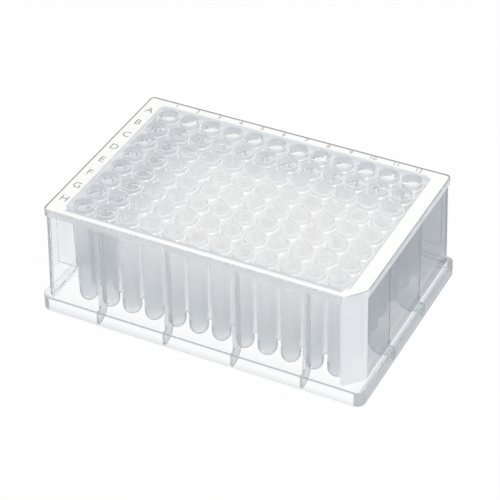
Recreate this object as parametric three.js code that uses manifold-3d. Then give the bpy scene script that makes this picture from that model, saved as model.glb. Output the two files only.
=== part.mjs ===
// A 96-well deep-well plate, moulded in clear polypropylene with a white border on its top frame.
// Millimetres, +Z up. The origin is the centre of the footprint, on the surface the plate stands on.
// +X runs along the columns, from 1 to 12, and +Y points to row A. Well A1 is at -X, +Y.
import * as THREE from "three";
import { mergeVertices } from "three/addons/utils/BufferGeometryUtils.js";
import Module from "manifold-3d";

// Standard microplate sizes: footprint, and the grid of wells centred on it.
const LENGTH = 127.76;
const WIDTH = 85.48;
const COLUMNS = 12;
const ROWS = 8;
const PITCH = 9;

// Levels.
const HEIGHT = 44.1;
const SKIRT_TOP = 6;
const LIP_BOTTOM = 41.1;
const DECK_TOP = 42;
const DECK_BOTTOM = 40.8;
const FRAME_ROOF = 42.5;

// Walls. The upper walls stand in from the skirt, by a little less on the long sides than on the ends.
const WALL = 1.2;
const WALL_INSET = { x: 2.25, y: 1.9 };
const DRAFT = 0.85;
const LIP_PROUD = 0.5;
const SKIRT_RADIUS = 3.2;
const WALL_RADIUS = 1.8;

// The cut corner beside well H12, which tells a robot which way round the plate is.
const KEY_CORNER = { alongX: 5.6, alongY: 6.4 };

// The recess in the top frame that the well rims stand in, and the white border around it.
const RECESS = { halfX: 55, halfY: 36.8, radius: 3 };
const BORDER_THICKNESS = 0.3;
const BORDER_EDGE = 0.5;

// Wells and the tubes around them, both drafted so that the moulding leaves its tool.
const TUBE = { top: 4.0, foot: 3.5, footLevel: 5.4 };
const WELL = { top: 3.45, foot: 2.9, footLevel: 6.0 };

// Ribs and webs that stiffen the shell. A rib's foot sweeps out in a curve from its tube to the skirt,
// bent towards a point that lies RIB_BEND from the curve's own corner. Ribs and webs run into what they
// join by RIB_OVERLAP.
const RIB_THICKNESS = 1;
const RIB_FOOT = 0.3;
const RIB_CORNER = 4.2;
const RIB_BEND = { out: 0.9, up: 0.4 };
const RIB_OVERLAP = 0.6;
const FIRST_RIB_COLUMN = 1;
const COLUMNS_PER_RIB = 3;
const RIB_ROWS = [2, 5];
const WEB_OFFSET = 33.9;
const WEB_BOTTOM = 17;

// Facets. A polygon of SIDES corners has the area of its circle when its corners lie at ROUND times
// the circle's radius.
const SIDES = 8;
const ROUND = Math.sqrt((2 * Math.PI) / SIDES / Math.sin((2 * Math.PI) / SIDES));
const CORNER_STEPS = 2;
const TUBE_BOTTOM_STEPS = 2;
const WELL_BOTTOM_STEPS = 1;

// A solid that cuts an open face runs past it by CLEAR, and corners closer than WELD are one corner.
const CLEAR = 1;
const WELD = 1e-4;

const wasm = await Module();
wasm.setup();

// A closed three.js geometry as a solid that can be joined and cut.
function toSolid(geometry) {
  const closed = geometry.clone();
  closed.deleteAttribute("normal");
  closed.deleteAttribute("uv");
  const merged = mergeVertices(closed, WELD);
  return new wasm.Manifold(
    new wasm.Mesh({
      numProp: 3,
      vertProperties: merged.attributes.position.array,
      triVerts: new Uint32Array(merged.index.array),
    }),
  );
}

// A solid back as a three.js geometry with flat faces.
function toGeometry(solid) {
  const mesh = solid.getMesh();
  const indexed = new THREE.BufferGeometry();
  indexed.setAttribute("position", new THREE.BufferAttribute(mesh.vertProperties, 3));
  indexed.setIndex(new THREE.BufferAttribute(mesh.triVerts, 1));
  const flat = indexed.toNonIndexed();
  flat.computeVertexNormals();
  return flat;
}

// A rectangle with rounded corners. With a key, its corner at +X, -Y is cut straight instead.
function outline(halfX, halfY, radius, key) {
  const shape = new THREE.Shape();
  shape.moveTo(-halfX + radius, -halfY);
  if (key) {
    shape.lineTo(halfX - key.alongX, -halfY);
    shape.lineTo(halfX, -halfY + key.alongY);
  } else {
    shape.absarc(halfX - radius, -halfY + radius, radius, -Math.PI / 2, 0, false);
  }
  shape.absarc(halfX - radius, halfY - radius, radius, 0, Math.PI / 2, false);
  shape.absarc(-halfX + radius, halfY - radius, radius, Math.PI / 2, Math.PI, false);
  shape.absarc(-halfX + radius, -halfY + radius, radius, Math.PI, Math.PI * 1.5, false);
  return shape;
}

// An outline raised from one level to another.
function prism(shape, bottom, top) {
  const geometry = new THREE.ExtrudeGeometry(shape, {
    depth: top - bottom,
    bevelEnabled: false,
    curveSegments: CORNER_STEPS,
  });
  return geometry.translate(0, 0, bottom);
}

// The same, with the sides leaning in by inset at the upper level.
function draftedPrism(halfX, halfY, radius, key, bottom, top, inset) {
  const geometry = prism(outline(halfX, halfY, radius, key), bottom, top);
  const position = geometry.attributes.position;
  const middle = (bottom + top) / 2;
  for (let i = 0; i < position.count; i += 1) {
    if (position.getZ(i) > middle) {
      position.setX(i, (position.getX(i) * (halfX - inset)) / halfX);
      position.setY(i, (position.getY(i) * (halfY - inset)) / halfY);
    }
  }
  return geometry;
}

// A profile of radius and height, turned about the Z axis, with flats facing the four sides.
function turned(profile) {
  const points = profile.map(([radius, z]) => new THREE.Vector2(radius, z));
  const geometry = new THREE.LatheGeometry(points, SIDES, Math.PI / SIDES);
  return geometry.rotateX(Math.PI / 2);
}

// The round bottom of a tube or well, from its lowest point up to where the wall starts.
function roundBottom(radius, level, steps) {
  const points = [];
  for (let i = 0; i < steps; i += 1) {
    const angle = (i / steps) * (Math.PI / 2);
    points.push([radius * Math.sin(angle), level - radius * Math.cos(angle)]);
  }
  points.push([radius, level]);
  return points;
}

// The outer walls: a flared skirt with a flat ledge, a drafted wall on it, and a lip round the top.
const wallHalfX = LENGTH / 2 - WALL_INSET.x;
const wallHalfY = WIDTH / 2 - WALL_INSET.y;
const lipHalfX = wallHalfX - DRAFT + LIP_PROUD;
const lipHalfY = wallHalfY - DRAFT + LIP_PROUD;

function makeShell() {
  const skirt = toSolid(prism(outline(LENGTH / 2, WIDTH / 2, SKIRT_RADIUS), 0, SKIRT_TOP));
  const wall = toSolid(
    draftedPrism(wallHalfX, wallHalfY, WALL_RADIUS, KEY_CORNER, SKIRT_TOP - WALL, LIP_BOTTOM, DRAFT),
  );
  const lip = toSolid(prism(outline(lipHalfX, lipHalfY, WALL_RADIUS, KEY_CORNER), LIP_BOTTOM, HEIGHT));

  const skirtInside = outline(LENGTH / 2 - WALL, WIDTH / 2 - WALL, SKIRT_RADIUS - WALL);
  const wallInside = draftedPrism(
    wallHalfX - WALL,
    wallHalfY - WALL,
    WALL_RADIUS,
    KEY_CORNER,
    -CLEAR,
    DECK_BOTTOM,
    DRAFT,
  );
  return skirt
    .add(wall)
    .add(lip)
    .subtract(toSolid(prism(skirtInside, -CLEAR, SKIRT_TOP - WALL)))
    .subtract(toSolid(wallInside))
    .subtract(makeFrameCore());
}

// The channel under the top frame that keeps its section as thin as the walls.
function makeFrameCore() {
  const shape = outline(
    wallHalfX - DRAFT - WALL,
    wallHalfY - DRAFT - WALL,
    WALL_RADIUS,
    KEY_CORNER,
  );
  shape.holes.push(outline(RECESS.halfX + WALL, RECESS.halfY + WALL, RECESS.radius));
  return toSolid(prism(shape, DECK_BOTTOM - CLEAR, FRAME_ROOF));
}

// One rib, standing between the tubes and the wall and reaching down the skirt to the ground.
// It is drawn in a plane with out as the distance from the centre and up as the height.
function makeRib(tubeFace, wallFace, skirtFace) {
  const start = tubeFace - RIB_OVERLAP;
  const skirt = skirtFace - WALL + RIB_OVERLAP;
  const bendOut = tubeFace + RIB_BEND.out;
  const bendUp = RIB_FOOT + RIB_BEND.up;
  const shape = new THREE.Shape();
  shape.moveTo(start, FRAME_ROOF);
  shape.lineTo(start, RIB_FOOT + RIB_CORNER);
  shape.lineTo(tubeFace, RIB_FOOT + RIB_CORNER);
  shape.quadraticCurveTo(bendOut, bendUp, tubeFace + RIB_CORNER, RIB_FOOT);
  shape.lineTo(skirt, RIB_FOOT);
  shape.lineTo(skirt, SKIRT_TOP - RIB_OVERLAP);
  shape.lineTo(wallFace - RIB_OVERLAP, SKIRT_TOP - RIB_OVERLAP);
  shape.lineTo(wallFace - DRAFT - RIB_OVERLAP, FRAME_ROOF);
  const geometry = new THREE.ExtrudeGeometry(shape, {
    depth: RIB_THICKNESS,
    bevelEnabled: false,
    curveSegments: CORNER_STEPS,
  });
  return geometry.translate(0, 0, -RIB_THICKNESS / 2).rotateX(Math.PI / 2);
}

// Ribs stand on every third column, from column 2, and on rows C and F, at both ends of each.
function addRibs(body) {
  const tubeEndX = ((COLUMNS - 1) / 2) * PITCH + TUBE.foot;
  const tubeEndY = ((ROWS - 1) / 2) * PITCH + TUBE.foot;
  const endRib = makeRib(tubeEndX, wallHalfX, LENGTH / 2);
  const sideRib = makeRib(tubeEndY, wallHalfY, WIDTH / 2);
  let joined = body;
  for (let column = FIRST_RIB_COLUMN; column < COLUMNS; column += COLUMNS_PER_RIB) {
    const x = (column - (COLUMNS - 1) / 2) * PITCH;
    for (const turn of [-1, 1]) {
      const placed = sideRib.clone().rotateZ((turn * Math.PI) / 2).translate(x, 0, 0);
      joined = joined.add(toSolid(placed));
    }
  }
  for (const row of RIB_ROWS) {
    const y = ((ROWS - 1) / 2 - row) * PITCH;
    for (const turn of [0, 1]) {
      const placed = endRib.clone().rotateZ(turn * Math.PI).translate(0, y, 0);
      joined = joined.add(toSolid(placed));
    }
  }
  return joined;
}

// Short webs that tie the four corner tubes to the end walls, in the upper part of the shell only.
function addCornerWebs(body) {
  const inner = ((COLUMNS - 1) / 2) * PITCH + TUBE.foot - RIB_OVERLAP;
  const outer = wallHalfX - DRAFT - RIB_OVERLAP;
  const height = FRAME_ROOF - WEB_BOTTOM;
  const web = new THREE.BoxGeometry(outer - inner, RIB_THICKNESS, height);
  let joined = body;
  for (const sideX of [-1, 1]) {
    for (const sideY of [-1, 1]) {
      const placed = web
        .clone()
        .translate((sideX * (outer + inner)) / 2, sideY * WEB_OFFSET, WEB_BOTTOM + height / 2);
      joined = joined.add(toSolid(placed));
    }
  }
  return joined;
}

// Where every well stands, from A1 to H12.
function wellCentres() {
  const centres = [];
  for (let row = 0; row < ROWS; row += 1) {
    for (let column = 0; column < COLUMNS; column += 1) {
      centres.push([
        (column - (COLUMNS - 1) / 2) * PITCH,
        ((ROWS - 1) / 2 - row) * PITCH,
      ]);
    }
  }
  return centres;
}

// The whole clear moulding. A tube runs from its round bottom up through the deck to its raised rim.
function makeBody() {
  const tube = turned([
    ...roundBottom(TUBE.foot * ROUND, TUBE.footLevel, TUBE_BOTTOM_STEPS),
    [TUBE.top * ROUND, HEIGHT],
    [0, HEIGHT],
  ]);
  const well = turned([
    ...roundBottom(WELL.foot * ROUND, WELL.footLevel, WELL_BOTTOM_STEPS),
    [WELL.top * ROUND, HEIGHT],
    [WELL.top * ROUND, HEIGHT + CLEAR],
    [0, HEIGHT + CLEAR],
  ]);
  const recess = prism(outline(RECESS.halfX, RECESS.halfY, RECESS.radius), DECK_TOP, HEIGHT + CLEAR);
  const rebate = prism(borderOutline(), HEIGHT - BORDER_THICKNESS, HEIGHT + CLEAR);

  let body = addCornerWebs(addRibs(makeShell()));
  body = body.subtract(toSolid(recess)).subtract(toSolid(rebate));
  for (const [x, y] of wellCentres()) {
    body = body.add(toSolid(tube.clone().translate(x, y, 0)));
  }
  for (const [x, y] of wellCentres()) {
    body = body.subtract(toSolid(well.clone().translate(x, y, 0)));
  }
  return toGeometry(body);
}

// The white border fills a shallow rebate, from just inside the lip's edge to the recess.
function borderOutline() {
  return outline(lipHalfX - BORDER_EDGE, lipHalfY - BORDER_EDGE, WALL_RADIUS, KEY_CORNER);
}

function makeBorder() {
  const shape = borderOutline();
  shape.holes.push(outline(RECESS.halfX, RECESS.halfY, RECESS.radius));
  return prism(shape, HEIGHT - BORDER_THICKNESS, HEIGHT);
}

const clearPlastic = new THREE.MeshStandardMaterial({
  color: 0xdfe4e6,
  roughness: 0.18,
  metalness: 0,
  transparent: true,
  opacity: 0.45,
});
const whitePlastic = new THREE.MeshStandardMaterial({
  color: 0xf7f7f4,
  roughness: 0.45,
  metalness: 0,
});

const plateBody = new THREE.Mesh(makeBody(), clearPlastic);
plateBody.name = "plate_body";
const whiteBorder = new THREE.Mesh(makeBorder(), whitePlastic);
whiteBorder.name = "white_border";

const plate = new THREE.Group();
plate.add(plateBody, whiteBorder);

export default plate;
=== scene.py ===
import math

import bmesh
import bpy
import numpy as np
from mathutils import Matrix, Vector


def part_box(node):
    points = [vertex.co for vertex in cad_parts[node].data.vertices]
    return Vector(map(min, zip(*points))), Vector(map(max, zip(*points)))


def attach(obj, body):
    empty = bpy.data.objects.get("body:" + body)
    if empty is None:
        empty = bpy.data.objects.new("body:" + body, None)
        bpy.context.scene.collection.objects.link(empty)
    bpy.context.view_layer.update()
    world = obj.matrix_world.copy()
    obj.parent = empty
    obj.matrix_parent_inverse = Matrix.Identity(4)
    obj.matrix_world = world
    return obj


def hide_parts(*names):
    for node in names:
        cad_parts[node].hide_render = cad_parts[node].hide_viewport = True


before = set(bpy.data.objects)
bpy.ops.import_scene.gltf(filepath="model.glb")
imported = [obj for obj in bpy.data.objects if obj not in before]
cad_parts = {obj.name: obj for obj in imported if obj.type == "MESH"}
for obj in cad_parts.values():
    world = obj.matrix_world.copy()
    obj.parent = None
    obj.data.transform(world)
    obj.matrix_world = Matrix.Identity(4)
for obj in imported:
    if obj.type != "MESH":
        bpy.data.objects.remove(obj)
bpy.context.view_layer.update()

# ---------------------------------------------------------------------------------------------------
# The shell: a low skirt, a flat ledge, and four drafted walls that rise from it to a lip. It is the
# outside of one clear polypropylene moulding, made of lofts that are joined and cut, and every section
# down to the tubes adds to it or cuts from it. Sizes are in millimetres, and the mesh is in metres.
# ---------------------------------------------------------------------------------------------------
MM = 0.001
body_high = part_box("plate_body")[1]
HALF_LENGTH = body_high.x / MM
HALF_WIDTH = body_high.y / MM
HEIGHT = body_high.z / MM
THICKNESS = 1.2
SKIRT_HALF = (HALF_LENGTH, HALF_WIDTH)
SKIRT_TOP = 6.0
SKIRT_RADIUS = 3.2
SKIRT_INSIDE_RADIUS = 2.0
SKIRT_INSIDE_ROUND = 0.3
FOOT_BEVEL, FOOT_BEVEL_TOP = 0.12, 0.2
LEDGE_WIDTH = (2.25, 1.9)
WALL_HALF = (HALF_LENGTH - LEDGE_WIDTH[0], HALF_WIDTH - LEDGE_WIDTH[1])
WALL_RADIUS = 1.8
WALL_INSIDE_RADIUS = 1.2
DRAFT = 0.85
LIP_BOTTOM = 41.1
LIP_SETBACK = 0.35
LIP_HALF = (WALL_HALF[0] - LIP_SETBACK, WALL_HALF[1] - LIP_SETBACK)
LIP_BEVEL = 0.15
KEY = (5.6, 6.4)
DECK_BOTTOM = 40.8
CLEAR = 1.0

# The rounds of the upper edges, as steps of how far in and how far below the top they are.
LEDGE_ROUND = ((0.0, 0.45), (0.06, 0.2), (0.2, 0.06), (0.45, 0.0))
LIP_ROUND = ((0.0, 0.3), (0.05, 0.12), (0.2, 0.0))

# The finishes of the moulding, in the order of its material slots.
FINISHES = [
    "clear_wall",
    "inner_wall",
    "clear_tube",
    "round_bottom",
    "clear_well",
    "milky_well",
    "milky_rim",
    "polished_edge",
    "clear_rib",
    "thick_lip",
    "frosted_face",
    "thick_edge",
]
WALL, INNER, TUBE, BOTTOM, WELL, MILKY, RIM, POLISH, RIB, LIP, FROSTED, EDGE = range(len(FINISHES))
plastics = [bpy.data.materials.new(name) for name in FINISHES]


def level(half, radius, key, height, inset=0.0):
    """One level of a loft: an outline of the given half sizes, drawn in all round by the inset."""
    return (half[0] - inset, half[1] - inset, radius - inset, key, height)


def rounded(half, radius, key, top, steps):
    """The levels of a rounded upper edge, one for each of its steps."""
    return [level(half, radius, key, top - below, inset) for inset, below in steps]


def outline(half_x, half_y, radius, key=None, steps=8):
    """Points once round a rectangle with rounded corners. A corner is a quarter circle about a centre
    one radius in from both sides. With a key, the corner at +X, -Y is a straight cut whose two ends
    are rounded by a parabola through the end's own corner point."""
    turn = np.linspace(0.0, math.pi / 2, steps)
    corners = []
    for quarter, (sx, sy) in enumerate([(1, -1), (1, 1), (-1, 1), (-1, -1)]):
        if key and quarter == 0:
            ends = np.array([[half_x - key[0], -half_y], [half_x, -half_y + key[1]]])
            along = (ends[1] - ends[0]) / np.linalg.norm(ends[1] - ends[0])
            reach = radius / 2
            t = np.linspace(0.0, 1.0, steps // 2)[:, None]
            before, after = ends[0] - [reach, 0], ends[0] + along * reach
            corners.append((1 - t) ** 2 * before + 2 * t * (1 - t) * ends[0] + t**2 * after)
            before, after = ends[1] - along * reach, ends[1] + [0, reach]
            corners.append((1 - t) ** 2 * before + 2 * t * (1 - t) * ends[1] + t**2 * after)
        else:
            angle = turn + (quarter - 1) * math.pi / 2
            centre = np.array([sx * (half_x - radius), sy * (half_y - radius)])
            corners.append(centre + radius * np.stack([np.cos(angle), np.sin(angle)], 1))
    return np.vstack(corners)


def solid(name, points, faces, finish):
    """An object from points in millimetres. finish is one slot number, or one for each face."""
    mesh = bpy.data.meshes.new(name)
    mesh.from_pydata((np.asarray(points) * MM).tolist(), [], faces)
    for plastic in plastics:
        mesh.materials.append(plastic)
    slots = np.full(len(mesh.polygons), finish, np.int32)
    mesh.polygons.foreach_set("material_index", slots)
    mesh.update()
    made = bpy.data.objects.new(name, mesh)
    bpy.context.scene.collection.objects.link(made)
    return made


def loft(name, levels, finish, steps=8, edges=(), top=None, bottom=None):
    """A closed solid through a stack of outlines. Level k is (half x, half y, corner radius, key, z),
    and the side between two levels is ruled straight from one outline to the next. The face of a cut
    corner has a finish of its own, and so have the corners and the bands above the levels in edges.
    The top and bottom faces may have theirs."""
    n = 4 * steps
    rings = [
        np.column_stack([outline(hx, hy, r, key, steps), np.full(n, z)]) for hx, hy, r, key, z in levels
    ]
    i = np.arange(n)
    j = (i + 1) % n
    sides = [
        np.column_stack([k * n + i, k * n + j, (k + 1) * n + j, (k + 1) * n + i])
        for k in range(len(rings) - 1)
    ]
    faces = np.vstack(sides).tolist() + [i[::-1].tolist(), ((len(rings) - 1) * n + i).tolist()]
    slots = np.full(len(faces), finish)
    band = slots[: (len(rings) - 1) * n].reshape(-1, n)
    if edges:
        band[:, i % steps < steps - 1] = EDGE
        band[list(edges)] = EDGE
    if levels[0][3]:
        band[:, : steps - 1] = FROSTED
    slots[-2:] = finish if bottom is None else bottom, finish if top is None else top
    return solid(name, np.vstack(rings), faces, slots)


def ring_loft(name, outer, inner, finish, steps=8):
    """A closed ring between an outer and an inner stack of outlines that have the same levels."""
    n = 4 * steps
    stack = [
        np.column_stack([outline(hx, hy, r, key, steps), np.full(n, z)])
        for hx, hy, r, key, z in outer + inner[::-1]
    ]
    i = np.arange(n)
    j = (i + 1) % n
    count = len(stack)
    faces = [
        np.column_stack([k * n + i, k * n + j, (k + 1) % count * n + j, (k + 1) % count * n + i])
        for k in range(count)
    ]
    return solid(name, np.vstack(stack), np.vstack(faces).tolist(), finish)


def combine(body, other, operation):
    """Joins or cuts body by the other solid, and leaves the result in body."""
    change = body.modifiers.new("combine", "BOOLEAN")
    change.operation = operation
    change.solver = "MANIFOLD"
    change.object = other
    made = bpy.data.meshes.new_from_object(body.evaluated_get(bpy.context.evaluated_depsgraph_get()))
    body.modifiers.clear()
    old = body.data
    body.data = made
    bpy.data.meshes.remove(old)
    bpy.data.meshes.remove(other.data)


plate = loft(
    "clear_plate",
    [
        level(SKIRT_HALF, SKIRT_RADIUS, None, 0.0, FOOT_BEVEL),
        level(SKIRT_HALF, SKIRT_RADIUS, None, FOOT_BEVEL_TOP),
        *rounded(SKIRT_HALF, SKIRT_RADIUS, None, SKIRT_TOP, LEDGE_ROUND),
    ],
    WALL,
    edges=(0, 2, 3, 4),
)
wall_top_half = (WALL_HALF[0] - DRAFT, WALL_HALF[1] - DRAFT)
walls = loft(
    "walls",
    [
        level(WALL_HALF, WALL_RADIUS, KEY, SKIRT_TOP - THICKNESS),
        level(WALL_HALF, WALL_RADIUS, KEY, SKIRT_TOP),
        level(wall_top_half, WALL_RADIUS, KEY, LIP_BOTTOM),
        level(wall_top_half, WALL_RADIUS, KEY, LIP_BOTTOM + CLEAR),
    ],
    WALL,
    edges=(2,),
)
combine(plate, walls, "UNION")
lip = loft(
    "lip",
    [
        level(LIP_HALF, WALL_RADIUS, KEY, LIP_BOTTOM, LIP_BEVEL),
        level(LIP_HALF, WALL_RADIUS, KEY, LIP_BOTTOM + LIP_BEVEL),
        *rounded(LIP_HALF, WALL_RADIUS, KEY, HEIGHT, LIP_ROUND),
    ],
    LIP,
    edges=(2, 3),
    top=EDGE,
)
combine(plate, lip, "UNION")
skirt_inside_half = (HALF_LENGTH - THICKNESS, HALF_WIDTH - THICKNESS)
ledge_bottom = SKIRT_TOP - THICKNESS
skirt_inside = loft(
    "skirt_inside",
    [
        level(skirt_inside_half, SKIRT_INSIDE_RADIUS, None, -CLEAR),
        level(skirt_inside_half, SKIRT_INSIDE_RADIUS, None, ledge_bottom - SKIRT_INSIDE_ROUND),
        level(skirt_inside_half, SKIRT_INSIDE_RADIUS, None, ledge_bottom, SKIRT_INSIDE_ROUND),
    ],
    INNER,
)
combine(plate, skirt_inside, "DIFFERENCE")
wall_inside_half = (WALL_HALF[0] - THICKNESS, WALL_HALF[1] - THICKNESS)
roof_half = (wall_inside_half[0] - DRAFT, wall_inside_half[1] - DRAFT)
walls_inside = loft(
    "walls_inside",
    [
        level(wall_inside_half, WALL_INSIDE_RADIUS, KEY, 0.0),
        level(wall_inside_half, WALL_INSIDE_RADIUS, KEY, ledge_bottom),
        level(roof_half, WALL_INSIDE_RADIUS, KEY, DECK_BOTTOM),
    ],
    INNER,
)
combine(plate, walls_inside, "DIFFERENCE")

# ---------------------------------------------------------------------------------------------------
# The top frame between the lip and the wells. It is cored from below, so that it is no thicker than
# the walls and cools without sinking.
# ---------------------------------------------------------------------------------------------------
FRAME_ROOF = 42.5
RECESS_HALF = (55.0, 36.8)
RECESS_RADIUS = 3.0
island_half = (RECESS_HALF[0] + THICKNESS, RECESS_HALF[1] + THICKNESS)
channel = ring_loft(
    "channel",
    [
        level(roof_half, WALL_INSIDE_RADIUS, KEY, DECK_BOTTOM - CLEAR),
        level(roof_half, WALL_INSIDE_RADIUS, KEY, FRAME_ROOF),
    ],
    [
        level(island_half, RECESS_RADIUS, None, DECK_BOTTOM - CLEAR),
        level(island_half, RECESS_RADIUS, None, FRAME_ROOF),
    ],
    LIP,
)
combine(plate, channel, "DIFFERENCE")

# ---------------------------------------------------------------------------------------------------
# Ribs from the outer tubes to the walls, on every third column and on rows C and F. They are moulded
# with the shell, 1 mm thick, and their feet sweep out to the skirt.
# ---------------------------------------------------------------------------------------------------
PITCH = 9.0
COLUMNS = 12
ROWS = 8
TUBE_TOP, TUBE_FOOT, TUBE_LEVEL = 4.0, 3.5, 5.4
RIB_COLUMNS = (1, 4, 7, 10)
RIB_ROWS = (2, 5)
RIB_THICKNESS = 1.0
RIB_FOOT = 0.3
RIB_CORNER = 4.2
RIB_BEND = (0.9, 0.4)
RIB_STEPS = 8
RIB_ROOF = FRAME_ROOF + 0.2
OVERLAP = 0.6
END_COLUMN = (COLUMNS - 1) / 2 * PITCH
END_ROW = (ROWS - 1) / 2 * PITCH


def rib_profile(tube_face, wall_face, skirt_face):
    """Points of (distance out, height): down the tubes, out along a parabola to the skirt's foot, up
    the skirt, and up inside the drafted wall."""
    start, skirt = tube_face - OVERLAP, skirt_face - THICKNESS + OVERLAP
    t = np.linspace(0, 1, RIB_STEPS + 1)[:, None]
    first = np.array([tube_face, RIB_FOOT + RIB_CORNER])
    bend = np.array([tube_face + RIB_BEND[0], RIB_FOOT + RIB_BEND[1]])
    last = np.array([tube_face + RIB_CORNER, RIB_FOOT])
    sweep = (1 - t) ** 2 * first + 2 * t * (1 - t) * bend + t**2 * last
    inner = [[start, RIB_ROOF], [start, RIB_FOOT + RIB_CORNER]]
    outer = [
        [skirt, RIB_FOOT],
        [skirt, SKIRT_TOP - OVERLAP],
        [wall_face - OVERLAP, SKIRT_TOP - OVERLAP],
        [wall_face - DRAFT - OVERLAP, RIB_ROOF],
    ]
    return np.vstack([inner, sweep, outer])


def standing_plates(name, profile, turns, places, finish):
    """Plates of one profile. Each has a front and a back ring of the profile, half a thickness to
    either side of the X axis, turned by its own angle about Z and then moved to its own place. Their
    narrow sides have the finish of the edges."""
    n = len(profile)
    side = np.repeat([RIB_THICKNESS / 2, -RIB_THICKNESS / 2], n)
    out = np.tile(profile[:, 0], 2)
    up = np.tile(profile[:, 1], 2)
    cos, sin = np.cos(turns)[:, None], np.sin(turns)[:, None]
    places = np.asarray(places, float)
    x = out * cos - side * sin + places[:, :1]
    y = out * sin + side * cos + places[:, 1:]
    points = np.stack([x, y, np.broadcast_to(up, x.shape)], 2).reshape(-1, 3)
    i = np.arange(n)
    j = (i + 1) % n
    step = 2 * n * np.arange(len(places))[:, None, None]
    rims = np.column_stack([i, j, n + j, n + i])[None] + step
    caps = np.stack([i[::-1], n + i])[None] + step
    faces = rims.reshape(-1, 4).tolist() + caps.reshape(-1, n).tolist()
    slots = np.repeat([EDGE, finish], [n * len(places), 2 * len(places)])
    return solid(name, points, faces, slots)


rib_columns = (np.array(RIB_COLUMNS) - (COLUMNS - 1) / 2) * PITCH
rib_rows = ((ROWS - 1) / 2 - np.array(RIB_ROWS)) * PITCH
side_ribs = standing_plates(
    "side_ribs",
    rib_profile(END_ROW + TUBE_FOOT, WALL_HALF[1], HALF_WIDTH),
    np.repeat([math.pi / 2, -math.pi / 2], len(rib_columns)),
    np.column_stack([np.tile(rib_columns, 2), np.zeros(2 * len(rib_columns))]),
    RIB,
)
combine(plate, side_ribs, "UNION")
end_ribs = standing_plates(
    "end_ribs",
    rib_profile(END_COLUMN + TUBE_FOOT, WALL_HALF[0], HALF_LENGTH),
    np.repeat([0.0, math.pi], len(rib_rows)),
    np.column_stack([np.zeros(2 * len(rib_rows)), np.tile(rib_rows, 2)]),
    RIB,
)
combine(plate, end_ribs, "UNION")

# ---------------------------------------------------------------------------------------------------
# Short webs that tie the four corner tubes to the end walls. They are moulded with the shell, and
# fill only the upper part of it.
# ---------------------------------------------------------------------------------------------------
WEB_OFFSET = 33.9
WEB_BOTTOM = 17.0
web_in = END_COLUMN + TUBE_FOOT - OVERLAP
web_out = WALL_HALF[0] - DRAFT - OVERLAP
web_profile = np.array(
    [[web_in, FRAME_ROOF], [web_in, WEB_BOTTOM], [web_out, WEB_BOTTOM], [web_out, FRAME_ROOF]]
)
webs = standing_plates(
    "corner_webs",
    web_profile,
    np.array([0.0, 0.0, math.pi, math.pi]),
    [(0, -WEB_OFFSET), (0, WEB_OFFSET), (0, -WEB_OFFSET), (0, WEB_OFFSET)],
    INNER,
)
combine(plate, webs, "UNION")

# ---------------------------------------------------------------------------------------------------
# The recess in the top frame, where the rims stand on the deck, and the shallow rebate that the white
# border fills. Both are cut from the same moulding, and the recess has a small bevel at its foot.
# ---------------------------------------------------------------------------------------------------
DECK_TOP = 42.0
RECESS_BEVEL = 0.25
border_low, border_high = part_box("white_border")
BORDER_HALF = (border_high.x / MM, border_high.y / MM)
BORDER_SEAT = border_low.z / MM
recess = loft(
    "recess",
    [
        level(RECESS_HALF, RECESS_RADIUS, None, DECK_TOP, RECESS_BEVEL),
        level(RECESS_HALF, RECESS_RADIUS, None, DECK_TOP + RECESS_BEVEL),
        level(RECESS_HALF, RECESS_RADIUS, None, HEIGHT + CLEAR),
    ],
    FROSTED,
    bottom=RIM,
)
combine(plate, recess, "DIFFERENCE")
rebate = loft(
    "rebate",
    [
        level(BORDER_HALF, WALL_RADIUS, KEY, BORDER_SEAT),
        level(BORDER_HALF, WALL_RADIUS, KEY, HEIGHT + CLEAR),
    ],
    LIP,
)
combine(plate, rebate, "DIFFERENCE")

# ---------------------------------------------------------------------------------------------------
# The 96 tubes and the wells in them: thin drafted tubes with round bottoms, turned about their axes,
# which run up through the deck to raised rims with a polished bevel at the foot. The plastic looks
# hazier than in the walls, and milky in the middle of the field, behind many tubes, where a painted
# light also makes it brighter.
# ---------------------------------------------------------------------------------------------------
WELL_TOP, WELL_FOOT, WELL_LEVEL = 3.45, 2.9, 6.0
WELL_BEVEL = 0.15
BOTTOM_FINISH_TOP = 8.8
RIM_FINISH_FROM = DECK_TOP - 0.1
RIM_BEVEL, RIM_BEVEL_RISE = 0.5, 0.4
RIM_ROUND = ((0.0, 0.2), (0.06, 0.06), (0.2, 0.0))
SIDES = 24
BOTTOM_STEPS = 6
CLEARER_ROWS = 2


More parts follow.
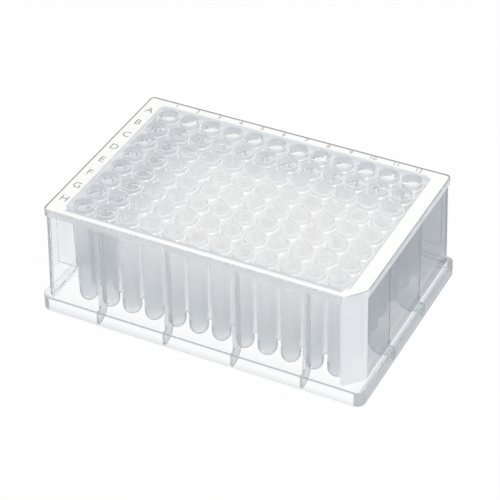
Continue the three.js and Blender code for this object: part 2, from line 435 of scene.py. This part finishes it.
def turned(name, profile, centres, sides, finish):
    """A profile of (radius, height) turned about a vertical axis at each centre: the point at angle a
    is (radius cos a, radius sin a, height). The first and last profile points lie on the axis. finish
    is the slot number of each band from the bottom up, the pole fans among them."""
    profile = np.asarray(profile, float)
    ring = profile[1:-1]
    angle = 2 * math.pi * np.arange(sides) / sides
    x = ring[:, 0, None] * np.cos(angle)
    y = ring[:, 0, None] * np.sin(angle)
    z = np.repeat(ring[:, 1, None], sides, 1)
    poles = [[0, 0, profile[0, 1]], [0, 0, profile[-1, 1]]]
    one = np.vstack([np.column_stack([x.ravel(), y.ravel(), z.ravel()]), poles])
    rows = len(ring)
    i = np.arange(sides)
    j = (i + 1) % sides
    k = sides * np.arange(rows - 1)[:, None]
    quads = np.stack([k + i, k + j, k + sides + j, k + sides + i], 2).reshape(-1, 4)
    low = rows * sides
    last = low - sides
    bottom = np.column_stack([np.full(sides, low), j, i])
    top = np.column_stack([np.full(sides, low + 1), last + i, last + j])
    shift = np.column_stack([centres, np.zeros(len(centres))])
    points = (one[None] + shift[:, None]).reshape(-1, 3)
    step = len(one) * np.arange(len(centres))[:, None, None]
    faces = (quads[None] + step).reshape(-1, 4).tolist()
    faces += (np.vstack([bottom, top])[None] + step).reshape(-1, 3).tolist()
    slots = np.repeat(finish, sides)
    band_slots = np.tile(slots[sides:-sides], len(centres))
    fan_slots = np.tile(np.concatenate([slots[:sides], slots[-sides:]]), len(centres))
    return solid(name, points, faces, np.concatenate([band_slots, fan_slots]))


def round_bottom(radius, centre_height):
    """Points of (radius, height) on a quarter circle: (r sin a, centre - r cos a), from the lowest
    point out to the wall."""
    a = np.linspace(0, math.pi / 2, BOTTOM_STEPS + 1)
    return np.column_stack([radius * np.sin(a), centre_height - radius * np.cos(a)])


def drafted(foot, top, foot_level, height):
    """The radius at a height on a wall that runs from foot at its level to top at the plate's top."""
    return foot + (top - foot) * (height - foot_level) / (HEIGHT - foot_level)


tube_foot_radius = drafted(TUBE_FOOT, TUBE_TOP, TUBE_LEVEL, BOTTOM_FINISH_TOP)
tube_rim_radius = drafted(TUBE_FOOT, TUBE_TOP, TUBE_LEVEL, RIM_FINISH_FROM)
rim_bevel = [
    [tube_rim_radius, RIM_FINISH_FROM],
    [tube_rim_radius + RIM_BEVEL, RIM_FINISH_FROM],
    [tube_rim_radius + RIM_BEVEL, DECK_TOP],
    [tube_rim_radius, DECK_TOP + RIM_BEVEL_RISE],
]
tube_profile = np.vstack(
    [
        round_bottom(TUBE_FOOT, TUBE_LEVEL),
        [[tube_foot_radius, BOTTOM_FINISH_TOP]],
        rim_bevel,
        [[TUBE_TOP - inset, HEIGHT - below] for inset, below in RIM_ROUND],
        [[0, HEIGHT]],
    ]
)
# From the bottom up: the round bottom, the wall, the step out inside the deck and its side, the bevel,
# the wall of the rim, its round, and its top.
tube_finish = [BOTTOM] * (BOTTOM_STEPS + 1) + [TUBE, TUBE, RIM, POLISH, RIM, POLISH, POLISH, RIM]
column, row = np.meshgrid(np.arange(COLUMNS), np.arange(ROWS))
well_centres = np.column_stack([(column * PITCH - END_COLUMN).ravel(), (END_ROW - row * PITCH).ravel()])
combine(plate, turned("tubes", tube_profile, well_centres, SIDES, tube_finish), "UNION")
well_rim_radius = drafted(WELL_FOOT, WELL_TOP, WELL_LEVEL, RIM_FINISH_FROM)
well_profile = np.vstack(
    [
        round_bottom(WELL_FOOT, WELL_LEVEL),
        [[well_rim_radius, RIM_FINISH_FROM]],
        [[WELL_TOP, HEIGHT - WELL_BEVEL]],
        [[WELL_TOP + WELL_BEVEL, HEIGHT]],
        [[WELL_TOP + WELL_BEVEL, HEIGHT + CLEAR]],
        [[0, HEIGHT + CLEAR]],
    ]
)
in_middle = ((column >= CLEARER_ROWS) & (row >= CLEARER_ROWS)).ravel()
for name, finish, chosen in (("outer_wells", WELL, ~in_middle), ("middle_wells", MILKY, in_middle)):
    well_finish = [finish] * (BOTTOM_STEPS + 1) + [RIM] * (len(well_profile) - BOTTOM_STEPS - 2)
    combine(plate, turned(name, well_profile, well_centres[chosen], SIDES, well_finish), "DIFFERENCE")
SHARP_FROM = math.radians(35)
plate.data.shade_smooth()
plate.data.set_sharp_from_angle(angle=SHARP_FROM)

# ---------------------------------------------------------------------------------------------------
# The polypropylene itself. It is clear where it is thin and polished, milky where light crosses many
# tube walls, and blue grey where it is seen along a wall. The melt leaves faint flow marks in it, drawn
# out along the tubes, and a slight ripple. Each finish is a Principled shader, tinted by masks that
# mostly paint light and shade by place: painted light on the middle of the field and in row A, painted
# shade on the outer tubes, the right end and the far edges, a painted highlight on the front crest.
# The index of the resin, and the lower ones that let light through many walls one behind another.
RESIN_IOR = 1.49
WALL_IOR = 1.35
FIELD_IOR = 1.3
RIPPLES_TO_A_MARK = 0.3
MARKS_FROM, MARKS_TO = 0.3, 0.7


def flow_marks():
    """The group behind every moulded surface here. Flow is a noise stretched along Z, from 0 to 1, and
    Ripple is a wider one, for a height. Marks is how many of them there are to a metre, and a Stretch
    below 1 draws them out along Z."""
    group = bpy.data.node_groups.new("flow_marks", "ShaderNodeTree")
    face = group.interface
    face.new_socket("Vector", in_out="INPUT", socket_type="NodeSocketVector")
    face.new_socket("Marks", in_out="INPUT", socket_type="NodeSocketFloat")
    face.new_socket("Stretch", in_out="INPUT", socket_type="NodeSocketFloat")
    face.new_socket("Flow", in_out="OUTPUT", socket_type="NodeSocketFloat")
    face.new_socket("Ripple", in_out="OUTPUT", socket_type="NodeSocketFloat")
    nodes, links = group.nodes, group.links
    given = nodes.new("NodeGroupInput")
    made = nodes.new("NodeGroupOutput")
    axes = nodes.new("ShaderNodeCombineXYZ")
    axes.inputs["X"].default_value = 1
    axes.inputs["Y"].default_value = 1
    links.new(given.outputs["Stretch"], axes.inputs["Z"])
    drawn = nodes.new("ShaderNodeVectorMath")
    drawn.operation = "MULTIPLY"
    links.new(given.outputs["Vector"], drawn.inputs[0])
    links.new(axes.outputs["Vector"], drawn.inputs[1])
    flow = nodes.new("ShaderNodeTexNoise")
    flow.inputs["Detail"].default_value = 3
    links.new(drawn.outputs["Vector"], flow.inputs["Vector"])
    links.new(given.outputs["Marks"], flow.inputs["Scale"])
    links.new(flow.outputs["Fac"], made.inputs["Flow"])
    wider = nodes.new("ShaderNodeMath")
    wider.operation = "MULTIPLY"
    wider.inputs[1].default_value = RIPPLES_TO_A_MARK
    links.new(given.outputs["Marks"], wider.inputs[0])
    ripple = nodes.new("ShaderNodeTexNoise")
    ripple.inputs["Detail"].default_value = 1
    links.new(given.outputs["Vector"], ripple.inputs["Vector"])
    links.new(wider.outputs["Value"], ripple.inputs["Scale"])
    links.new(ripple.outputs["Fac"], made.inputs["Ripple"])
    return group


marks_group = flow_marks()


def blended(nodes, links, share, first, second):
    """A colour from first, where share is 0, to second, where it is 1. Both are colours or sockets."""
    mix = nodes.new("ShaderNodeMix")
    mix.data_type = "RGBA"
    links.new(share, mix.inputs["Factor"])
    for socket, colour in ((mix.inputs["A"], first), (mix.inputs["B"], second)):
        if isinstance(colour, tuple):
            socket.default_value = (*colour, 1)
        else:
            links.new(colour, socket)
    return mix.outputs["Result"]


def ranged(nodes, links, value, start, end, low, high):
    """The value from start to end carried over to the range from low to high."""
    spread = nodes.new("ShaderNodeMapRange")
    spread.inputs["From Min"].default_value = start
    spread.inputs["From Max"].default_value = end
    spread.inputs["To Min"].default_value = low
    spread.inputs["To Max"].default_value = high
    links.new(value, spread.inputs["Value"])
    return spread.outputs["Result"]


def moulded(material, marks, stretch, colours, roughness, ripple):
    """Gives a material its Principled shader, with colour and roughness that follow the flow marks and
    a bump that follows the ripple, whose height is in millimetres. Returns the nodes, the links, the
    shader and the colour."""
    material.use_nodes = True
    nodes, links = material.node_tree.nodes, material.node_tree.links
    shader = nodes["Principled BSDF"]
    place = nodes.new("ShaderNodeTexCoord")
    group = nodes.new("ShaderNodeGroup")
    group.node_tree = marks_group
    group.inputs["Marks"].default_value = marks
    group.inputs["Stretch"].default_value = stretch
    links.new(place.outputs["Object"], group.inputs["Vector"])
    colour = blended(nodes, links, group.outputs["Flow"], *colours)
    rough = ranged(nodes, links, group.outputs["Flow"], MARKS_FROM, MARKS_TO, *roughness)
    links.new(rough, shader.inputs["Roughness"])
    bump = nodes.new("ShaderNodeBump")
    bump.inputs["Strength"].default_value = 1.0
    bump.inputs["Distance"].default_value = ripple * MM
    links.new(group.outputs["Ripple"], bump.inputs["Height"])
    links.new(bump.outputs["Normal"], shader.inputs["Normal"])
    links.new(colour, shader.inputs["Base Color"])
    return nodes, links, shader, colour


def shades_of_block():
    """The group that paints light and shade on the plate by where a surface is, with masks from 0 to 1.
    Places are in millimetres. Each mask is a product of straight rises along the axes, or the larger of
    two. Side and End: painted shade on the outer tubes on the long and the short sides, fading into the
    next row, towards the deck and towards the round bottoms.
    Middle: painted light that rises from the left and the back of the field towards its middle.
    Shade and Deep: painted shade on the right-hand end of the shell, darker on its upper part past the
    rib on row C. Foot: the feet of the ribs, tinted darker towards the floor.
    Window: a painted patch of light high up on the far side of the wells of row A.
    Far: painted shade along the upper left and back edges. Front: a painted highlight on the crest of
    the front edge. Near: painted shade on the border along the recess, at the front and the right."""
    group = bpy.data.node_groups.new("shades_of_block", "ShaderNodeTree")
    for mask in ("Side", "End", "Middle", "Shade", "Deep_shade", "Foot", "Window", "Far", "Front", "Near"):
        group.interface.new_socket(mask, in_out="OUTPUT", socket_type="NodeSocketFloat")
    nodes, links = group.nodes, group.links
    made = nodes.new("NodeGroupOutput")
    place = nodes.new("ShaderNodeTexCoord")
    axes = nodes.new("ShaderNodeSeparateXYZ")
    links.new(place.outputs["Object"], axes.inputs["Vector"])
    x, y, z = axes.outputs["X"], axes.outputs["Y"], axes.outputs["Z"]

    def worked(operation, *values):
        """MULTIPLY, MAXIMUM or ABSOLUTE of one or two values."""
        step = nodes.new("ShaderNodeMath")
        step.operation = operation
        for socket, value in zip(step.inputs, values):
            links.new(value, socket)
        return step.outputs["Value"]

    def product(first, *others):
        """All the values multiplied together."""
        for other in others:
            first = worked("MULTIPLY", first, other)
        return first

    def rise(axis, start, end, low=0, high=1):
        """From low at start to high at end along an axis, and flat beyond them."""
        return ranged(nodes, links, axis, start * MM, end * MM, low, high)

    def give(mask, value):
        """Sends a value out of the group as one of its masks."""
        links.new(value, made.inputs[mask])

    # Painted shade on the outer tubes: strongest low down, fading up towards the deck and less so
    # towards the round bottoms.
    up_the_tubes = nodes.new("ShaderNodeValToRGB")
    links.new(rise(z, 0, HEIGHT), up_the_tubes.inputs["Fac"])
    stops = up_the_tubes.color_ramp.elements
    stops[0].color = (0.2, 0.2, 0.2, 1)
    stops[1].position = 0.93
    stops[1].color = (0, 0, 0, 1)
    between = ((0.1, 0.35), (0.2, 1.0), (0.34, 1.0), (0.5, 0.75), (0.68, 0.5), (0.86, 0.25))
    for position, share in between:
        stops.new(position).color = (share, share, share, 1)
    shade_starts, shade_is_full = 8, 4
    for mask, axis, outer_row in (("End", x, END_COLUMN), ("Side", y, END_ROW)):
        outwards = rise(worked("ABSOLUTE", axis), outer_row - shade_starts, outer_row - shade_is_full)
        give(mask, product(outwards, up_the_tubes.outputs["Color"]))

    # Painted light: brighter in the middle of the field, falling off towards its left and back.
    give("Middle", product(rise(x, -6 * PITCH, -1.5 * PITCH), rise(y, 4 * PITCH, PITCH)))

    # Painted shade on the right-hand end wall and skirt, lighter towards the wall's foot, and darker
    # past the rib on row C.
    right_wall = rise(x, 60.0, 60.7)
    up_the_wall = rise(z, SKIRT_TOP, 14.5, low=0.15)
    skirt_face = rise(x, 62.0, 62.2)
    give("Shade", product(right_wall, worked("MAXIMUM", up_the_wall, skirt_face)))
    past_rib = rise(y, 13.0, 13.5)
    above_foot = rise(z, 11.0, 16.0)
    give("Deep_shade", product(right_wall, past_rib, above_foot))
    give("Foot", rise(z, 13.0, 7.0))

    # Painted light: a bright patch high up on the far side of the wells of row A.
    far_side = rise(y, 31.8, 32.2)
    above_depth = rise(z, 31.0, 32.0)
    below_rim = rise(z, 42.9, 42.7)
    give("Window", product(far_side, above_depth, below_rim))

    # Painted shade along the upper left and back edges of the frame.
    left_edge = rise(x, -60.5, -60.8)
    back_edge = rise(y, 39.4, 39.7)
    frame_only = rise(z, 42.0, 43.0)
    give("Far", product(worked("MAXIMUM", left_edge, back_edge), frame_only))
    # Painted highlight on the crest of the front edge.
    front_edge = rise(y, -39.0, -39.5)
    crest = rise(z, 43.85, 44.0)
    give("Front", product(front_edge, crest))

    # Painted shade on the border beside the recess, at the front and the right.
    front_strip = rise(y, -38.5, -37.7)
    front_half = rise(y, 0.0, -1.0)
    front_ends = rise(worked("ABSOLUTE", x), 54.0, 53.0)
    right_strip = rise(x, 55.5, 55.2)
    right_half = rise(x, 54.0, 55.0)
    right_ends = rise(worked("ABSOLUTE", y), 35.8, 35.0)
    front_part = product(front_strip, front_half, front_ends)
    right_part = product(right_strip, right_half, right_ends)
    give("Near", worked("MAXIMUM", front_part, right_part))
    return group


painted_light_group = shades_of_block()


def see_through(
    material,
    colours,
    along,
    transmission,
    roughness,
    ior,
    passing,
    glancing=(0.35, 0.9),
    tints=None,
    blur=0.0,
):
    """A clear or hazy plastic. Light that enters at a glancing angle turns from its colours to along,
    from the first to the second of glancing. transmission is the share of light that isn't scattered.
    tints gives its colour at each mask of the group that paints light and shade by place, and blur is
    the roughness that the middle of the field adds. Shadow and diffuse rays go straight through, and
    take on the passing colour."""
    nodes, links, shader, colour = moulded(
        material, marks=700, stretch=0.15, colours=colours, roughness=roughness, ripple=0.0015
    )
    painted_node = nodes.new("ShaderNodeGroup")
    painted_node.node_tree = painted_light_group
    for mask, tint in (tints or {}).items():
        colour = blended(nodes, links, painted_node.outputs[mask], colour, tint)
    if blur:
        rougher = nodes.new("ShaderNodeMath")
        rougher.operation = "MULTIPLY_ADD"
        rougher.inputs[1].default_value = blur
        links.new(painted_node.outputs["Middle"], rougher.inputs[0])
        links.new(shader.inputs["Roughness"].links[0].from_socket, rougher.inputs[2])
        links.new(rougher.outputs["Value"], shader.inputs["Roughness"])
    edge = nodes.new("ShaderNodeLayerWeight")
    edge.inputs["Blend"].default_value = 0.5
    edge_on = ranged(nodes, links, edge.outputs["Facing"], *glancing, 0.0, 1.0)
    inside = nodes.new("ShaderNodeNewGeometry")
    entering = ranged(nodes, links, inside.outputs["Backfacing"], 0, 1, 1, 0)
    glance = nodes.new("ShaderNodeMath")
    glance.operation = "MULTIPLY"
    links.new(edge_on, glance.inputs[0])
    links.new(entering, glance.inputs[1])
    colour = blended(nodes, links, glance.outputs["Value"], colour, along)
    links.new(colour, shader.inputs["Base Color"])
    shader.inputs["Transmission Weight"].default_value = transmission
    shader.inputs["IOR"].default_value = ior
    path = nodes.new("ShaderNodeLightPath")
    through = nodes.new("ShaderNodeBsdfTransparent")
    through.inputs["Color"].default_value = (*passing, 1)
    shadow = nodes.new("ShaderNodeMixShader")
    links.new(path.outputs["Is Shadow Ray"], shadow.inputs["Fac"])
    links.new(shader.outputs["BSDF"], shadow.inputs[1])
    links.new(through.outputs["BSDF"], shadow.inputs[2])
    diffuse = nodes.new("ShaderNodeMixShader")
    links.new(path.outputs["Is Diffuse Ray"], diffuse.inputs["Fac"])
    links.new(shadow.outputs["Shader"], diffuse.inputs[1])
    links.new(through.outputs["BSDF"], diffuse.inputs[2])
    links.new(diffuse.outputs["Shader"], nodes["Material Output"].inputs["Surface"])


# The wall's right-hand end has a painted shade, darker still past the rib on row C.
see_through(
    plastics[WALL],
    colours=((0.975, 0.98, 0.985), (0.96, 0.965, 0.972)),
    along=(0.04, 0.07, 0.10),
    transmission=0.96,
    roughness=(0.03, 0.07),
    ior=WALL_IOR,
    passing=(0.99, 0.99, 0.99),
    tints={"Shade": (0.58, 0.62, 0.65), "Deep_shade": (0.38, 0.42, 0.45)},
)
see_through(
    plastics[INNER],
    colours=((0.985, 0.99, 0.995), (0.97, 0.975, 0.98)),
    along=(0.85, 0.88, 0.90),
    transmission=0.97,
    roughness=(0.05, 0.09),
    ior=WALL_IOR,
    passing=(0.99, 0.99, 0.99),
)
# The outer tubes have a painted shade, and row A a painted patch of light high up on the far side of
# its tubes and wells.
see_through(
    plastics[TUBE],
    colours=((1.0, 1.0, 1.0), (0.99, 0.995, 1.0)),
    along=(1.0, 1.0, 1.0),
    transmission=0.84,
    roughness=(0.15, 0.25),
    ior=WALL_IOR,
    passing=(1.0, 1.0, 1.0),
    glancing=(0.5, 0.85),
    tints={"Side": (0.66, 0.695, 0.725), "End": (0.69, 0.73, 0.765), "Window": (1.0, 1.0, 1.0)},
)
# The round bottoms of the outer tubes share their painted shade.
see_through(
    plastics[BOTTOM],
    colours=((1.0, 1.0, 1.0), (0.99, 0.995, 1.0)),
    along=(0.10, 0.13, 0.16),
    transmission=0.84,
    roughness=(0.12, 0.18),
    ior=WALL_IOR,
    passing=(1.0, 1.0, 1.0),
    glancing=(0.45, 0.75),
    tints={"Side": (0.66, 0.695, 0.725), "End": (0.69, 0.73, 0.765)},
)
# The wells are painted lighter in the middle of the field, and row A has a painted patch of light on
# the far side of its wells.
see_through(
    plastics[WELL],
    colours=((0.81, 0.843, 0.871), (0.80, 0.833, 0.861)),
    along=(1.0, 1.0, 1.0),
    transmission=0.94,
    roughness=(0.12, 0.18),
    ior=FIELD_IOR,
    passing=(1.0, 1.0, 1.0),
    tints={"Middle": (1.0, 1.0, 1.0), "Window": (1.0, 1.0, 1.0)},
    blur=0.26,
)
# Painted light brightens the middle of the field, and painted shade darkens its outer rows.
see_through(
    plastics[MILKY],
    colours=((0.84, 0.87, 0.895), (0.83, 0.86, 0.885)),
    along=(1.0, 1.0, 1.0),
    transmission=0.5,
    roughness=(0.12, 0.18),
    ior=FIELD_IOR,
    passing=(1.0, 1.0, 1.0),
    tints={"Middle": (0.91, 0.91, 0.91), "Side": (0.76, 0.79, 0.815), "End": (0.76, 0.79, 0.815)},
    blur=0.26,
)
# Painted light brightens the rims in the middle of the field.
see_through(
    plastics[RIM],
    colours=((0.74, 0.775, 0.805), (0.72, 0.755, 0.785)),
    along=(1.0, 1.0, 1.0),
    transmission=0.7,
    roughness=(0.3, 0.4),
    ior=FIELD_IOR,
    passing=(1.0, 1.0, 1.0),
    tints={"Middle": (0.95, 0.95, 0.95)},
)
# Painted light brightens the polished bevels and rounds in the middle of the field.
see_through(
    plastics[POLISH],
    colours=((0.78, 0.80, 0.82), (0.81, 0.83, 0.85)),
    along=(1.0, 1.0, 1.0),
    transmission=0.15,
    roughness=(0.06, 0.1),
    ior=RESIN_IOR,
    passing=(1.0, 1.0, 1.0),
    tints={"Middle": (0.90, 0.905, 0.91)},
)
see_through(
    plastics[RIB],
    colours=((0.93, 0.95, 0.965), (0.90, 0.92, 0.94)),
    along=(0.42, 0.46, 0.49),
    transmission=0.93,
    roughness=(0.08, 0.14),
    ior=FIELD_IOR,
    passing=(0.98, 0.98, 0.985),
    tints={"Foot": (0.72, 0.76, 0.79)},
)
see_through(
    plastics[LIP],
    colours=((0.80, 0.825, 0.845), (0.77, 0.795, 0.815)),
    along=(0.66, 0.70, 0.73),
    transmission=0.6,
    roughness=(0.08, 0.14),
    ior=RESIN_IOR,
    passing=(0.99, 0.99, 0.99),
)
see_through(
    plastics[FROSTED],
    colours=((0.85, 0.88, 0.905), (0.84, 0.87, 0.895)),
    along=(0.9, 0.92, 0.95),
    transmission=0.4,
    roughness=(0.3, 0.4),
    ior=FIELD_IOR,
    passing=(0.99, 0.99, 0.99),
)
# The edges have a painted highlight on the front crest and a painted shade along the upper left and
# back.
see_through(
    plastics[EDGE],
    colours=((0.50, 0.54, 0.57), (0.45, 0.49, 0.52)),
    along=(0.40, 0.44, 0.47),
    transmission=0.3,
    roughness=(0.2, 0.3),
    ior=FIELD_IOR,
    passing=(0.95, 0.95, 0.95),
    tints={"Front": (0.78, 0.81, 0.83), "Far": (0.10, 0.11, 0.12)},
)
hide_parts("plate_body")
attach(plate, "root")

# ---------------------------------------------------------------------------------------------------
# The white border: an opaque white layer, moulded into the rebate of the top frame, that makes the row
# letters and column numbers easy to read. It has a fine satin grain and a soft upper edge. A painted
# shade makes it greyer along its left and back edges and beside the recess, at the front and the right.
# ---------------------------------------------------------------------------------------------------
BORDER_TOP = HEIGHT - 0.02
BORDER_GAP = 0.02
BORDER_BEVEL = 0.06
border_half = (BORDER_HALF[0] - BORDER_GAP, BORDER_HALF[1] - BORDER_GAP)
opening_half = (RECESS_HALF[0] + BORDER_GAP, RECESS_HALF[1] + BORDER_GAP)
border = ring_loft(
    "white_print",
    [
        level(border_half, WALL_RADIUS, KEY, BORDER_SEAT + BORDER_GAP),
        level(border_half, WALL_RADIUS, KEY, BORDER_TOP - BORDER_BEVEL),
        level(border_half, WALL_RADIUS, KEY, BORDER_TOP, BORDER_BEVEL),
    ],
    [
        level(opening_half, RECESS_RADIUS, None, BORDER_SEAT + BORDER_GAP),
        level(opening_half, RECESS_RADIUS, None, BORDER_TOP - BORDER_BEVEL),
        level(opening_half, RECESS_RADIUS, None, BORDER_TOP, -BORDER_BEVEL),
    ],
    finish=0,
)
white = bpy.data.materials.new("white_layer")
nodes, links, shader, colour = moulded(
    white,
    marks=1800,
    stretch=1.0,
    colours=((0.985, 0.985, 0.975), (0.96, 0.96, 0.95)),
    roughness=(0.35, 0.5),
    ripple=0.006,
)
# Painted shade greys the white layer along its left and back edges and beside the recess at the front
# and the right.
painted_node = nodes.new("ShaderNodeGroup")
painted_node.node_tree = painted_light_group
for mask, tint in (("Far", (0.42, 0.44, 0.46)), ("Near", (0.60, 0.63, 0.66))):
    colour = blended(nodes, links, painted_node.outputs[mask], colour, tint)
links.new(colour, shader.inputs["Base Color"])
border.data.materials.clear()
border.data.materials.append(white)
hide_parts("white_border")
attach(border, "root")

# ---------------------------------------------------------------------------------------------------
# Row letters A to H down the left of the border and column numbers 1 to 12 along the back of it, in
# grey ink. They are printed on the white layer, and stand two hundredths of a millimetre proud.
# ---------------------------------------------------------------------------------------------------
INK_SEAT = BORDER_TOP - 0.03
INK_TOP = HEIGHT
CURVE_STEPS = 4
INK_WELD = 0.002
LETTER_HEIGHT = 3.2
NUMBER_HEIGHT = 2.0
LETTER_X = -57.5
NUMBER_Y = 38.4


def printed(name, words, centres, height, ink):
    """One flat piece for several words. Each word is drawn in the plain built-in face and centred on
    its own place. The height of a capital H sets the scale, and the ink's seat and top take the place
    of the drawn thickness."""
    points, faces = [], []
    count = 0
    capital = None
    for word, centre in zip(["H", *words], [None, *centres]):
        drawing = bpy.data.curves.new(word, "FONT")
        drawing.body = word
        drawing.extrude = 0.01
        drawing.resolution_u = CURVE_STEPS
        carrier = bpy.data.objects.new(word, drawing)
        bpy.context.scene.collection.objects.link(carrier)
        graph = bpy.context.evaluated_depsgraph_get()
        mesh = bpy.data.meshes.new_from_object(carrier.evaluated_get(graph))
        bpy.data.curves.remove(drawing)
        flat = np.zeros(3 * len(mesh.vertices), np.float32)
        mesh.vertices.foreach_get("co", flat)
        flat = flat.reshape(-1, 3).astype(float)
        if centre is None:
            capital = np.ptp(flat[:, 1])
            continue
        low, high = flat.min(0), flat.max(0)
        place = (flat[:, :2] - (low[:2] + high[:2]) / 2) * height / capital + centre
        points.append(np.column_stack([place, np.where(flat[:, 2] > 0, INK_TOP, INK_SEAT)]))
        faces += [[count + corner for corner in polygon.vertices] for polygon in mesh.polygons]
        count += len(flat)
        bpy.data.meshes.remove(mesh)
    whole = bpy.data.meshes.new(name)
    whole.from_pydata((np.vstack(points) * MM).tolist(), [], faces)
    welded = bmesh.new()
    welded.from_mesh(whole)
    bmesh.ops.remove_doubles(welded, verts=welded.verts, dist=INK_WELD * MM)
    bmesh.ops.recalc_face_normals(welded, faces=welded.faces)
    welded.to_mesh(whole)
    welded.free()
    whole.materials.append(ink)
    made = bpy.data.objects.new(name, whole)
    bpy.context.scene.collection.objects.link(made)
    return made


letter_ink = bpy.data.materials.new("grey_ink")
moulded(
    letter_ink,
    marks=4000,
    stretch=1.0,
    colours=((0.28, 0.285, 0.29), (0.38, 0.385, 0.39)),
    roughness=(0.4, 0.6),
    ripple=0.004,
)
letter_places = np.column_stack([np.full(ROWS, LETTER_X), END_ROW - np.arange(ROWS) * PITCH])
letters = printed("row_letters", list("ABCDEFGH"), letter_places, LETTER_HEIGHT, letter_ink)
number_places = np.column_stack([np.arange(COLUMNS) * PITCH - END_COLUMN, np.full(COLUMNS, NUMBER_Y)])
number_words = [str(number) for number in range(1, COLUMNS + 1)]
numbers = printed("column_numbers", number_words, number_places, NUMBER_HEIGHT, letter_ink)
for print_piece in (letters, numbers):
    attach(print_piece, "root")

# ---------------------------------------------------------------------------------------------------
# Camera, floor and light: the camera looks down on the front and the right side of the plate, on a
# pale floor in an even room light. One soft lamp to the right draws the highlights along the rims.
# Angles are in radians, the lens is in millimetres, and places are in metres.
# ---------------------------------------------------------------------------------------------------
AZIMUTH, ELEVATION, ROLL = 0.471, 0.650, -0.0153
DISTANCE = 0.719787
TARGET = np.array([0.00112, -0.002108, 0.020])
LENS, SENSOR = 143.09, 36
out_flat = np.array([math.sin(AZIMUTH), -math.cos(AZIMUTH), 0])
back = out_flat * math.cos(ELEVATION) + np.array([0, 0, math.sin(ELEVATION)])
level_right = np.array([math.cos(AZIMUTH), math.sin(AZIMUTH), 0])
level_up = np.cross(back, level_right)
camera_right = level_right * math.cos(ROLL) + level_up * math.sin(ROLL)
camera_up = level_up * math.cos(ROLL) - level_right * math.sin(ROLL)
camera_data = bpy.data.cameras.new("camera")
camera_data.lens = LENS
camera_data.sensor_width = SENSOR
camera_data.clip_start = 0.01
camera = bpy.data.objects.new("camera", camera_data)
stance = np.column_stack([camera_right, camera_up, back, TARGET + back * DISTANCE])
camera.matrix_world = Matrix(stance.tolist() + [[0, 0, 0, 1]])
bpy.context.scene.collection.objects.link(camera)
bpy.context.scene.camera = camera


def background_rays(nodes, links):
    """1 for the rays that see the background: camera, glossy and transmission rays."""
    path = nodes.new("ShaderNodeLightPath")
    share = path.outputs["Is Camera Ray"]
    for ray in ("Is Glossy Ray", "Is Transmission Ray"):
        either = nodes.new("ShaderNodeMath")
        either.operation = "MAXIMUM"
        links.new(share, either.inputs[0])
        links.new(path.outputs[ray], either.inputs[1])
        share = either.outputs["Value"]
    return share


ROOM_LIGHT = 0.85
world = bpy.data.worlds.new("studio")
bpy.context.scene.world = world
world.use_nodes = True
nodes, links = world.node_tree.nodes, world.node_tree.links
room = nodes["Background"]
room.inputs["Color"].default_value = (1, 1, 1, 1)
strength = ranged(nodes, links, background_rays(nodes, links), 0, 1, ROOM_LIGHT, 1.0)
links.new(strength, room.inputs["Strength"])

FLOOR_GLOW = 0.9
FLOOR_REACH = 3
square = ((-1, -1), (1, -1), (1, 1), (-1, 1))
floor_corners = [(sx * FLOOR_REACH, sy * FLOOR_REACH, 0) for sx, sy in square]
floor_mesh = bpy.data.meshes.new("floor")
floor_mesh.from_pydata(floor_corners, [], [(0, 1, 2, 3)])
floor = bpy.data.objects.new("floor", floor_mesh)
bpy.context.scene.collection.objects.link(floor)
paper = bpy.data.materials.new("paper")
paper.use_nodes = True
nodes, links = paper.node_tree.nodes, paper.node_tree.links
sheet = nodes["Principled BSDF"]
sheet.inputs["Base Color"].default_value = (0.95, 0.95, 0.95, 1)
sheet.inputs["Roughness"].default_value = 0.9
sheet.inputs["Specular IOR Level"].default_value = 0
glow = nodes.new("ShaderNodeEmission")
glow.inputs["Color"].default_value = (1, 1, 1, 1)
mix = nodes.new("ShaderNodeMixShader")
share = ranged(nodes, links, background_rays(nodes, links), 0, 1, 0, FLOOR_GLOW)
links.new(share, mix.inputs["Fac"])
links.new(sheet.outputs["BSDF"], mix.inputs[1])
links.new(glow.outputs["Emission"], mix.inputs[2])
links.new(mix.outputs["Shader"], nodes["Material Output"].inputs["Surface"])
floor_mesh.materials.append(paper)

LAMP_PLACE = Vector((0.40, -0.22, 0.88))
LAMP_SIZE = 0.20
LAMP_POWER = 1.6
lamp_data = bpy.data.lights.new("softbox", "AREA")
lamp_data.size = LAMP_SIZE
lamp_data.energy = LAMP_POWER
lamp = bpy.data.objects.new("softbox", lamp_data)
lamp.location = LAMP_PLACE
lamp.rotation_euler = (Vector(TARGET) - LAMP_PLACE).to_track_quat("-Z", "Y").to_euler()
bpy.context.scene.collection.objects.link(lamp)

# Light has to cross many tube walls, with two surfaces each.
CLEAR_BOUNCES = 64
DIFFUSE_BOUNCES = 12
scene = bpy.context.scene
scene.view_settings.view_transform = "Standard"
scene.cycles.max_bounces = CLEAR_BOUNCES
scene.cycles.transmission_bounces = CLEAR_BOUNCES
scene.cycles.glossy_bounces = CLEAR_BOUNCES
scene.cycles.transparent_max_bounces = CLEAR_BOUNCES
scene.cycles.diffuse_bounces = DIFFUSE_BOUNCES
